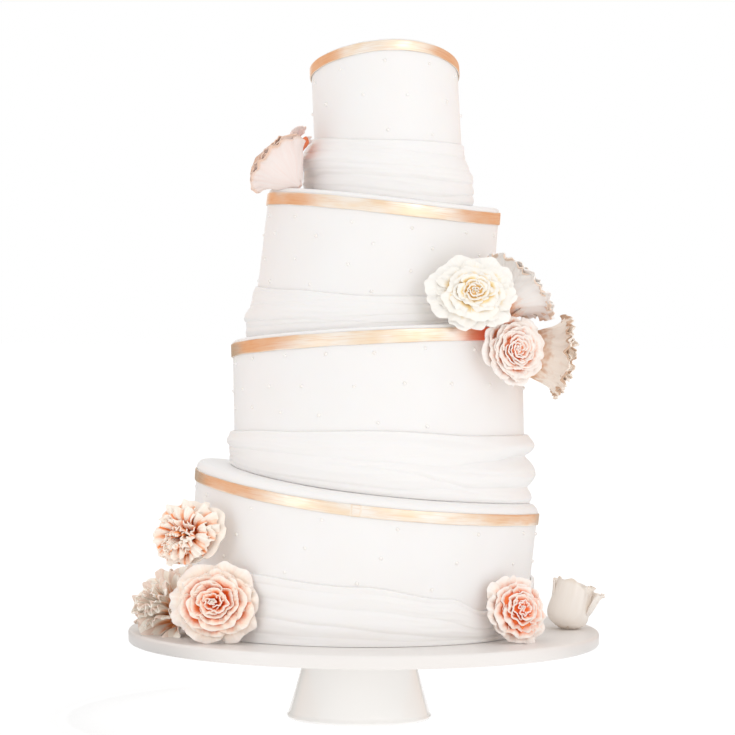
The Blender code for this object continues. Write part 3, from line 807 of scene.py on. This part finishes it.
def make_pearls(sizes, finish):
    """Pearls pressed into the walls: balls of four rings of eight points, half sunk in.

    A row's line is band line - depth - flatter (band line - height) - drop sin(bearing from the front).
    """
    rng = np.random.default_rng(PEARL_SEED)
    centres = []
    for level, (count, rows) in PEARL_ROWS.items():
        tier = TIERS[level]
        for bearing, depth, flatter, drop in rows:
            degrees = bearing + 360 / count * np.arange(count) + rng.normal(0, PEARL_SCATTER[0], count)
            angle = np.radians(degrees)
            line = band_line(tier, angle)[:, 2]
            z = line - depth - flatter * (line - tier.height) - drop * np.sin(angle + np.pi / 2)
            z = z + rng.normal(0, PEARL_SCATTER[1], count)
            clear = z > around(SWAGS[level].crest, degrees) + SWAG_GAP * sizes.pearl_radius
            centres.append(wall_point(tier, angle, z)[clear])
    centres = np.concatenate(centres)[:, None]
    lift = np.radians([-54, -18, 18, 54])
    ball, parts = closed_by_poles(lathe(np.stack([np.cos(lift), np.sin(lift)], -1), 8), (0, 0, -1), (0, 0, 1))
    points = centres + sizes.pearl_radius * rng.uniform(0.92, 1.08, (len(centres), 1, 1)) * ball
    step = len(ball) * np.arange(len(centres))[:, None, None]
    faces = [(part + step).reshape(-1, part.shape[1]) for part in parts]
    return add_piece("sugar_pearls", points, faces, finish)


# --- Petals and whorls ---

PETAL_ROWS, CORE_ROWS, CORE_COLUMNS = 15, 12, 24
ROW_EASE = 0.85  # below 1 the rows lie closer towards the rim
PETAL_THINNING = 1.5  # the petals are at their thinnest from 1 / 1.5 of their length


def facing_axes(facing):
    """Rows: level side axis, upward axis, and the facing direction."""
    forward = np.array(facing, float) / np.linalg.norm(facing)
    side = np.cross((0, 0, 1), forward)
    side /= np.linalg.norm(side)
    return np.array([side, np.cross(forward, side), forward])


def surface_normals(points):
    """Unit normals of a batch of grids, from the cross product of the steps across and along."""
    normal = np.cross(np.gradient(points, axis=2), np.gradient(points, axis=1))
    return normal / np.maximum(np.linalg.norm(normal, axis=-1, keepdims=True), 1e-12)


def uneven(u, waves, rng, count):
    """An uneven wave over u: two sines of about 1 and 2.1 times the pitch, the second weaker."""
    total = 0
    for pitch, size in ((1.0, 0.75), (2.1, 0.30)):
        f = pitch * waves * rng.uniform(0.75, 1.25, (count, 1, 1))
        total = total + size * np.sin(f * np.pi * u + rng.uniform(0, 2 * np.pi, (count, 1, 1)))
    return total


def petal_grids(whorl, rng, across, along):
    """Middle surfaces of one whorl's petals, in shares of the flower's radius, and their colour values.

    With u from -1 to 1 across and v from 0 to 1 along, t = v (1 - cut |u|^3 - dent e^(-(u/0.3)^2) - nick
    w(u)). The radius is base_r + (rim_r - base_r) ((1 - flare) (1 - (1 - t)^belly) + flare t^2.4) + spiral
    u t - cup u^2 t and the height base_z + (rim_z - base_z) (1 - (1 - t)^(1 + flare)). With c = (t - 0.55)
    / 0.45 the rim rolls out by curl c^2 and down by curl c^3, and it moves up the face by lean t. The petal
    spreads by the angle fan u, less at its root. The colour follows t, paler by pale (1 - t) and by fold
    times the slow ruffle. Ruffles move it along its normal by wave t^gather w(u) + crimp d^2 w(u), with d =
    (t - 0.62) / 0.38 and w an uneven wave.
    """
    count = whorl.count
    u = np.linspace(-1, 1, across)[None, None, :]
    v = np.linspace(0, 1, along)[None, :, None] ** ROW_EASE

    def vary(size):
        """Each petal's own departure from the whorl's measure, with this standard deviation."""
        return rng.normal(0, size * whorl.loose, (count, 1, 1))

    trim = whorl.cut * np.abs(u) ** 3 * (1 + vary(0.2)) + whorl.dent * np.exp(-((u - vary(0.15)) / 0.3) ** 2)
    t = v * (1 - trim - whorl.nick * uneven(u, 2.6, rng, count))
    s = np.clip(t, 0, 1)
    rim_r = whorl.rim_r * (1 + vary(0.05))
    rim_z = whorl.rim_z + vary(0.025)
    flare = np.clip(whorl.flare + vary(0.08), -0.5, 1)
    reach = (1 - flare) * (1 - (1 - s) ** whorl.belly) + flare * s ** 2.4
    r = whorl.base_r + (rim_r - whorl.base_r) * reach
    r = r + whorl.spiral * u * t - whorl.cup * u ** 2 * t * (1 + vary(0.3))
    z = whorl.base_z + (rim_z - whorl.base_z) * (1 - (1 - s) ** (1 + flare))
    c = np.clip((t - 0.55) / 0.45, 0, 1)
    roll = whorl.curl * (1 + vary(0.35))
    r, z = r + roll * c ** 2, z - np.abs(roll) * c ** 3
    spread = whorl.fan * (1 + vary(0.08)) * (0.35 + 0.65 * np.sin(np.pi / 2 * np.clip(1.6 * t, 0, 1)))
    turn = whorl.turn + 2 * np.pi * np.arange(count)[:, None, None] / count + vary(0.35 / count)
    azimuth = turn + spread * u
    points = np.stack(np.broadcast_arrays(r * np.cos(azimuth), r * np.sin(azimuth) + whorl.lean * s, z), -1)
    fine = np.clip((t - 0.62) / 0.38, 0, 1) ** 2
    slow = s ** whorl.gather * uneven(u, whorl.waves, rng, count)
    ruffle = whorl.wave * slow + whorl.crimp * fine * uneven(u, whorl.crimps, rng, count)
    points = points + surface_normals(points) * ruffle[..., None]
    tone = rng.uniform(0, 1, (count, 1, 1))
    # fold times the slow ruffle paints the deep colour into the valleys of the ruffles: painted shade.
    shade = t + whorl.pale * (1 - t) + whorl.fold * slow
    return points, np.stack(np.broadcast_arrays(shade, u, tone), -1)


def make_flower(name, whorls, sizes, finer=1, core=(0.26, -0.10)):
    """A flower of closed thin petals on a core, in one piece; finer multiplies the steps across.

    core gives the core's half-width and the height of its top as shares of the radius. Each petal's
    middle surface is moved half its thickness along the normal both ways, and the two sheets are joined
    round the border.
    """
    flower = FLOWERS[name]
    rng = np.random.default_rng(flower.seed)
    across, along = sizes.petal_steps * finer, PETAL_ROWS
    grids, values = zip(*[petal_grids(w, rng, across, along) for w in whorls])
    middle, values = np.concatenate(grids), np.concatenate(values)
    middle = middle * flower.radius * (1, flower.tall, 1)
    thin = np.clip(values[..., :1] * PETAL_THINNING, 0, 1)
    thick = sizes.petal_root + (sizes.petal_rim - sizes.petal_root) * thin
    shift = surface_normals(middle) * thick / 2
    loops = np.concatenate([middle + shift, (middle - shift)[:, :, ::-1]], 2)
    values = np.concatenate([values, values[:, :, ::-1]], 2).reshape(-1, 3)
    columns = 2 * across
    j = np.arange(across - 1)
    back = columns - 1 - j
    low = np.stack([j + 1, j, back, back - 1], -1)
    high = np.stack([j, j + 1, back - 1, back], -1) + (along - 1) * columns
    one = np.concatenate([grid_faces(along, columns), low, high])
    faces = [(one + along * columns * np.arange(len(loops))[:, None, None]).reshape(-1, 4)]
    points = loops.reshape(-1, 3)

    # The core is an egg (sin b, -cos b) that closes the roots and the bottoms of the crevices. Its
    # colour is deep at the top and that of the petals' body towards the calyx.
    b = np.linspace(0.25, np.pi - 0.25, CORE_ROWS)
    low, high = -flower.back, core[1] * flower.radius
    profile = np.stack([core[0] * flower.radius * np.sin(b), (low + high - (high - low) * np.cos(b)) / 2], -1)
    egg, parts = closed_by_poles(lathe(profile, CORE_COLUMNS), (0, 0, low), (0, 0, high))
    faces += [part + len(points) for part in parts]
    depth = 0.15 + 1.4 * (high - egg[:, 2:]) / (high - low)
    values = np.concatenate([values, depth * (1, 0, 0) + (0, 0, 0.5)])
    points = np.array(flower.place) + np.concatenate([points, egg]) @ facing_axes(flower.facing)
    return add_piece(name + "_petals", points, faces, sugar_petal(name), [name],
                     {"petal": values}, sharp=PETAL_CREASE)


def measures(name, rings):
    """Calyx depth and face height of a flower in shares of its radius, and f from 0 to 1 over its rings."""
    flower = FLOWERS[name]
    return flower.back / flower.radius, flower.dome / flower.radius, [k / (rings - 1) for k in range(rings)]


def faded(shape, f, **losses):
    """The shape's measures, each named one weaker by its loss times f."""
    return {**shape, **{key: shape[key] * (1 - loss * f) for key, loss in losses.items()}}


ROSE_SHAPE = dict(cut=0.13, dent=0.03, nick=0.02, cup=0.08, curl=0.12, spiral=0.05, wave=0.045, waves=1.5,
                  crimp=0.006, crimps=4.0, loose=1.0)
CARNATION_SHAPE = dict(wave=0.11, waves=2.6, gather=1.3, crimp=0.015, crimps=5.0, cup=0.03, spiral=0.05,
                       loose=1.2, nick=0.04, flare=0.45, belly=1.5, curl=0.10)
TRUMPET_SHAPE = dict(belly=1.3, wave=0.05, waves=1.6, crimp=0.035, crimps=6.0, cup=0.04, spiral=0.04,
                     nick=0.03, loose=1.0, curl=0.12)


def rose_whorls(name, rings, petals, inner=3, flare=0.85, sunk=0.30, guard_pale=0.0, **ruffles):
    """Whorls of a garden rose, from the guard petals (f = 0) to the bud (f = 1).

    The rims stand at radius 1 - 0.92 f on a dome that sinks by sunk at the bud, and the roots go down
    towards the calyx. The outer petals bend outwards near their rims and the inner ones stand up.
    """
    back, dome, shares = measures(name, rings)
    shape = {**ROSE_SHAPE, **ruffles}
    whorls = []
    for k, f in enumerate(shares):
        count = round(petals + (inner - petals) * f)
        top = dome * (math.sin(math.pi / 2 * f ** 0.8) - sunk * f ** 4) + 0.05 * (1 - f)
        whorls.append(Whorl(
            count=count, turn=2.4 * k, base_r=0.05 + 0.12 * (1 - f), rim_z=top,
            base_z=-0.92 * back * (1 - f) + (top - 0.25) * f, rim_r=(1 - shape["curl"]) * (1 - f) + 0.08 * f,
            belly=2.0 - 0.8 * f, flare=flare * (1 - 0.75 * f), fan=math.pi / count * 1.35,
            pale=0.0 if k else guard_pale, **faded(shape, f, curl=1.1, cup=0.5, wave=0.65, spiral=0.3)))
    return whorls


def carnation_whorls(name, rings, petals, guards=0, lean=0.0, base=0.13, **ruffles):
    """Whorls of a carnation: fan-shaped petals on a dome, each pleated from its root to its rim.

    The first whorl is smooth and wide where guards gives its number of petals.
    """
    back, dome, shares = measures(name, rings)
    whorls = []
    for k, f in enumerate(shares):
        count = round(petals - 3 * f)
        whorls.append(Whorl(
            count=count, turn=1.9 * k, base_r=0.05 * f + base * (1 - f), base_z=-back * (0.90 - 0.5 * f),
            rim_r=0.92 - 0.70 * f, rim_z=dome * math.sin(math.pi / 2 * f ** 0.8), lean=lean * f,
            fan=math.pi / count * (1.35 - 0.3 * f), cut=0.10,
            **faded({**CARNATION_SHAPE, **ruffles}, f, wave=0.4, curl=1)))
    if guards:
        whorls[0] = whorls[0]._replace(count=guards, fan=math.pi / guards * 1.3, wave=0.03, waves=1.6,
                                       crimp=0.0, flare=0.7, gather=2.0, pale=0.7, fold=0.0)
    return whorls


def trumpet_whorls(name, petals, layers=3, flare=0.4, base=0.45, front=math.pi, spread=1.4, **ruffles):
    """Whorls of a wide-throated flower: long smooth petals that open like a bell to a crimped rim."""
    back, dome, shares = measures(name, layers)
    whorls = []
    for k, f in enumerate(shares):
        count = petals if k < 2 else petals - 1
        whorls.append(Whorl(
            count=count, turn=front + math.pi / petals * k, base_r=base * (1 - 0.4 * f), base_z=-back,
            rim_r=0.90 - 0.34 * f, rim_z=dome * (0.2 + 0.8 * f), flare=flare,
            fan=math.pi / count * spread, cut=0.13, **faded({**TRUMPET_SHAPE, **ruffles}, f, curl=0.5)))
    return whorls


ROSES = {
    "rose_white_middle": ((0.50, 0.26), dict(
        rings=9, petals=7, inner=4, curl=0.13, wave=0.05, cut=0.10, sunk=0.15, guard_pale=0.95)),
    "rose_blush_middle": ((0.60, 0.25), dict(
        rings=10, petals=8, inner=4, curl=0.08, wave=0.045, flare=0.4, cut=0.10, guard_pale=0.85)),
    "rose_peach_left": ((0.60, 0.12), dict(
        rings=8, petals=6, curl=0.11, wave=0.085, waves=2.4, flare=0.35, crimp=0.012, guard_pale=0.6)),
    "rose_peach_right": ((0.70, 0.25), dict(
        rings=7, petals=6, curl=0.10, wave=0.09, waves=2.4, flare=0.35, crimp=0.012, guard_pale=0.4)),
}
# fold in these plans paints the deep colour into the ruffles' valleys as shade.
CARNATIONS = {
    "carnation_peach": dict(rings=6, petals=7, guards=4, lean=-0.45, wave=0.11, fold=-0.5, loose=1.6),
    "flower_mauve": dict(rings=4, petals=6, wave=0.13, waves=2.6, gather=1.2, flare=0.3, crimp=0.012,
                         curl=0.12, fold=-0.5, lean=-0.25, loose=1.5),
}
# fold in these plans paints the deep colour into the ruffles' valleys as shade.
TRUMPETS = {
    "rose_blush_top": dict(petals=3, layers=4, base=0.07, front=0.0, flare=0.0, belly=1.35, crimp=0.09,
                           crimps=8.0, wave=0.04, waves=3.0, gather=3.0, curl=0.20, nick=0.05, spread=1.8),
    "flower_champagne_upper": dict(petals=5, base=0.40, flare=0.3, wave=0.08, waves=3.0, gather=2.4,
                                   fold=0.25),
    "flower_champagne_lower": dict(petals=5, base=0.50, flare=0.3, wave=0.08, waves=3.0, gather=2.4,
                                   crimp=0.045, fold=0.3),
}


def variants(first, *changes):
    """The first whorl, and a copy of it with each set of changes."""
    return [first] + [first._replace(**change) for change in changes]


# Two petals rolled on themselves stand at the blush rose's side.
ROLLED_PETALS = variants(
    Whorl(1, 2.2, 0.08, -0.95, 1.00, 0.36, 0.30, belly=1.4, flare=0.1, curl=0.28, wave=0.02, pale=-3.4),
    dict(turn=2.15, rim_r=1.18, rim_z=0.02, fan=0.32, curl=0.14, pale=-12.0))
# A frilled bud closes each throat.
BUD = variants(
    Whorl(4, 0.4, 0.06, -0.60, 0.36, -0.02, 0.90, belly=1.2, flare=0.3, wave=0.06, waves=2.4, crimp=0.04,
          crimps=5.0, pale=0.3),
    dict(turn=1.1, rim_r=0.20, rim_z=0.03), dict(count=3, rim_r=0.08, rim_z=0.0))
# The ivory flower is a round-bottomed cup whose petals each bend their own way.
IVORY_CUP = variants(
    Whorl(1, 2.3, 0.04, -1.60, 0.60, 0.44, 1.25, belly=5.0, flare=-0.45, cut=0.08, nick=0.0, cup=0.02,
          curl=0.04, wave=0.02, crimp=0.012, loose=0.3),
    dict(turn=3.6, rim_r=0.53, rim_z=0.14, fan=1.1, curl=0.08),
    dict(turn=4.55, rim_r=1.10, rim_z=-0.06, fan=0.8, flare=0.25, belly=3.6, wave=0.05, crimp=0.08,
         nick=0.06),
    dict(turn=5.6, rim_r=0.95, rim_z=0.05, fan=0.9, flare=0.1, belly=4.0, curl=0.12, crimp=0.07, nick=0.05),
    dict(turn=0.3, rim_r=0.75, rim_z=0.20, fan=1.3, flare=0.0, curl=0.10),
    dict(turn=1.2, rim_r=0.50, rim_z=0.15, fan=1.2, flare=0.0),
    dict(turn=4.2, rim_r=0.66, rim_z=0.12, fan=1.0, flare=0.1, crimp=0.09, nick=0.05))


# --- Operators ---


def shared_fondant(colours):
    """The tiers and the swags are of one icing."""
    return bpy.data.materials.get("rolled_fondant_satin") or rolled_fondant(colours)


def on_every_tier(context, make, finish):
    for level in TIERS:
        make(level, context.scene.cake_sizes, finish)
    return {"FINISHED"}


class CAKE_OT_stand(Operator):
    """Turn the pedestal foot and the serving plate"""

    bl_idname = "cake.stand"
    bl_label = "Stand"

    def execute(self, context):
        make_stand(context.scene.cake_sizes, context.scene.cake_colours)
        return {"FINISHED"}


class CAKE_OT_tiers(Operator):
    """Ice the four slanting tiers"""

    bl_idname = "cake.tiers"
    bl_label = "Iced tiers"

    def execute(self, context):
        return on_every_tier(context, make_tier, shared_fondant(context.scene.cake_colours))


class CAKE_OT_strips(Operator):
    """Wrap a gold strip round the top of every tier"""

    bl_idname = "cake.strips"
    bl_label = "Gold strips"

    def execute(self, context):
        return on_every_tier(context, make_strip, lustre_gold(context.scene.cake_colours))


class CAKE_OT_swags(Operator):
    """Drape gathered fondant round the foot of every tier"""

    bl_idname = "cake.swags"
    bl_label = "Fondant swags"

    def execute(self, context):
        return on_every_tier(context, make_swag, shared_fondant(context.scene.cake_colours))


class CAKE_OT_pearls(Operator):
    """Press rows of sugar pearls into the walls"""

    bl_idname = "cake.pearls"
    bl_label = "Sugar pearls"

    def execute(self, context):
        make_pearls(context.scene.cake_sizes, sugar_pearl(context.scene.cake_colours))
        return {"FINISHED"}


class CAKE_OT_roses(Operator):
    """Build the four open garden roses"""

    bl_idname = "cake.roses"
    bl_label = "Garden roses"

    def execute(self, context):
        for name, (core, plan) in ROSES.items():
            make_flower(name, rose_whorls(name, **plan), context.scene.cake_sizes, core=core)
        return {"FINISHED"}


class CAKE_OT_ruffled_flowers(Operator):
    """Build the peach carnation and the mauve ruffled flower"""

    bl_idname = "cake.ruffled_flowers"
    bl_label = "Ruffled flowers"

    def execute(self, context):
        for name, plan in CARNATIONS.items():
            make_flower(name, carnation_whorls(name, **plan), context.scene.cake_sizes, finer=2)
        return {"FINISHED"}


class CAKE_OT_trumpet_flowers(Operator):
    """Build the blush rose on the upper ledge, the champagne flowers and the ivory flower"""

    bl_idname = "cake.trumpet_flowers"
    bl_label = "Wide-throated flowers"

    def execute(self, context):
        sizes = context.scene.cake_sizes
        for name, plan in TRUMPETS.items():
            extra = ROLLED_PETALS if name == "rose_blush_top" else []
            make_flower(name, trumpet_whorls(name, **plan) + BUD + extra, sizes, finer=3, core=(0.20, -0.35))
        make_flower("flower_ivory", IVORY_CUP, sizes, finer=2, core=(0.52, -0.80))
        return {"FINISHED"}


# --- Stage ---

# The camera is on the front axis of the cake, a long way off with a long lens.
CAMERA_PLACE = (0.0055, -2.9, 0.4035)
CAMERA_PITCH = math.radians(-0.947)
CAMERA_ROLL = math.radians(0.5)
CAMERA_LENS, CAMERA_SENSOR = 139.94, 36.0  # mm
FLOOR_REACH = 40.0
FLAG_POINTS = 12
FLAG_TURN = math.radians(7)  # all flags are turned this far to the right

# A lamp's width and height are in metres and its spread in degrees. The gridded softbox opens the
# shadows of the flowers at the lower left.
Lamp = namedtuple("Lamp", "place aim width height radiance spread")
LAMPS = {
    "front_softbox": Lamp((2.0, -2.8, 0.95), (0, 0, 0.33), 3.4, 2.2, 0.27, 180),
    "small_lamp": Lamp((1.6, -2.7, 1.2), (0, 0, 0.30), 0.30, 0.30, 9.0, 180),
    "gridded_softbox": Lamp((-0.80, -0.82, 0.21), (-0.195, -0.09, 0.150), 0.25, 0.25, 0.10695, 26),
}
# left and right are a flag's two arcs: the first and last bearing in degrees from the front, and the
# heights of the lower and upper edge. A glossy flag shows only in the gleam of metal, glaze and icing,
# the others only dim the soft light.
Flag = namedtuple("Flag", "cloth radius left right glossy")
FLAGS = {
    "warm_flag": Flag("#EFB88E", 1.6, (76, 158, 0.005, 1.5), (70, 158, 0.005, 1.5), True),
    "grey_flag": Flag("#C8CED4", 2.6, (60, 150, 0.02, 1.4), (60, 150, 0.02, 1.4), False),
    "rear_flag": Flag("#AAA297", 1.0, (135, 177, 0.01, 0.42), (135, 177, 0.01, 0.42), True),
    "low_flag": Flag("#504B45", 0.30, (50, 150, 0.004, 0.076), (50, 150, 0.045, 0.076), False),
}


def flag_cloth(name, tone):
    """Cloth of the studio flags, lit evenly from behind."""
    finish, tree, shader = new_finish(name)
    tree.nodes.remove(shader)
    glow = add_node(tree, "Emission", Color=rgba(linear(tone)), Strength=1.0)
    plug(tree.nodes["Material Output"], Surface=glow.outputs[0])
    return finish


def add_flag(name, side, finish, radius, reach, glossy):
    """An upright arc of cloth round the cake, out of the camera's sight: (r sin t, -r cos t, z)."""
    first, last, *heights = reach
    turn = np.radians(np.linspace(first, last, FLAG_POINTS)) * side + FLAG_TURN
    x, y = radius * np.sin(turn), -radius * np.cos(turn)
    rows = np.stack([np.stack([x, y, np.full_like(x, z)], -1) for z in heights])
    count = len(turn)
    j = np.arange(count - 1)
    mesh = bpy.data.meshes.new(name)
    mesh.from_pydata(rows.reshape(-1, 3), [], np.stack([j, j + 1, j + 1 + count, j + count], -1).tolist())
    mesh.materials.append(finish)
    flag = add_object(name, mesh)
    flag.visible_camera = flag.visible_shadow = flag.visible_transmission = False
    flag.visible_diffuse, flag.visible_glossy = not glossy, glossy


def add_lamp(name, lamp):
    """A rectangular softbox turned to its aim, of pi times area times radiance watts."""
    data = bpy.data.lights.new(name, "AREA")
    data.shape = "RECTANGLE"
    data.size, data.size_y = lamp.width, lamp.height
    data.energy = math.pi * lamp.width * lamp.height * lamp.radiance
    data.spread = math.radians(lamp.spread)
    axes = facing_axes(np.array(lamp.place) - np.array(lamp.aim))
    add_object(name, data).matrix_world = (
        Matrix.Translation(lamp.place) @ Matrix(axes.T.tolist()).to_4x4())


class CAKE_OT_stage(Operator):
    """Lay the floor and set the studio light and the camera"""

    bl_idname = "cake.stage"
    bl_label = "Studio"

    def execute(self, context):
        scene = context.scene
        mesh = bpy.data.meshes.new("studio_floor")
        corners = [(x * FLOOR_REACH, y * FLOOR_REACH, 0) for x, y in ((-1, -1), (1, -1), (1, 1), (-1, 1))]
        mesh.from_pydata(corners, [], [(0, 1, 2, 3)])
        mesh.materials.append(studio_floor(scene.cake_colours))
        add_object("studio_floor", mesh)
        scene.world = bpy.data.worlds.new("studio_surround")
        scene.world.use_nodes = True
        plug(scene.world.node_tree.nodes["Background"], Color=(1.0, 1.0, 1.0, 1.0), Strength=1.0)
        for name, lamp in LAMPS.items():
            add_lamp(name, lamp)
        for name, flag in FLAGS.items():
            cloth = flag_cloth(name + "_cloth", flag.cloth)
            for side, word in ((-1, "left"), (1, "right")):
                add_flag(f"{name}_{word}", side, cloth, flag.radius, getattr(flag, word), flag.glossy)
        scene.view_settings.view_transform = "Standard"

        data = bpy.data.cameras.new("front_camera")
        data.lens, data.sensor_width = CAMERA_LENS, CAMERA_SENSOR
        scene.camera = add_object("front_camera", data)
        upright = Matrix.Rotation(math.pi / 2 + CAMERA_PITCH, 4, "X")
        scene.camera.matrix_world = (
            Matrix.Translation(CAMERA_PLACE) @ upright @ Matrix.Rotation(CAMERA_ROLL, 4, "Z"))
        return {"FINISHED"}


class CAKE_PT_panel(Panel):
    """Lists the steps that build the cake, and its settings"""

    bl_idname = "CAKE_PT_panel"
    bl_label = "Wedding Cake"
    bl_space_type = "VIEW_3D"
    bl_region_type = "UI"
    bl_category = "Wedding Cake"

    def draw(self, context):
        for step in STEPS:
            self.layout.operator(step.bl_idname)
        for group in (context.scene.cake_sizes, context.scene.cake_colours):
            box = self.layout.box()
            for key in group.__annotations__:
                box.prop(group, key)


STEPS = (
    CAKE_OT_stand,
    CAKE_OT_tiers,
    CAKE_OT_strips,
    CAKE_OT_swags,
    CAKE_OT_pearls,
    CAKE_OT_roses,
    CAKE_OT_ruffled_flowers,
    CAKE_OT_trumpet_flowers,
    CAKE_OT_stage,
)
CLASSES = (CakeSizes, CakeColours, *STEPS, CAKE_PT_panel)


def register():
    for entry in CLASSES:
        bpy.utils.register_class(entry)
    bpy.types.Scene.cake_sizes = PointerProperty(type=CakeSizes)
    bpy.types.Scene.cake_colours = PointerProperty(type=CakeColours)


def unregister():
    del bpy.types.Scene.cake_colours
    del bpy.types.Scene.cake_sizes
    for entry in reversed(CLASSES):
        bpy.utils.unregister_class(entry)


def main():
    register()
    bpy.ops.cake.stand()
    bpy.ops.cake.tiers()
    bpy.ops.cake.strips()
    bpy.ops.cake.swags()
    bpy.ops.cake.pearls()
    bpy.ops.cake.roses()
    bpy.ops.cake.ruffled_flowers()
    bpy.ops.cake.trumpet_flowers()
    bpy.ops.cake.stage()


if __name__ == "__main__":
    main()
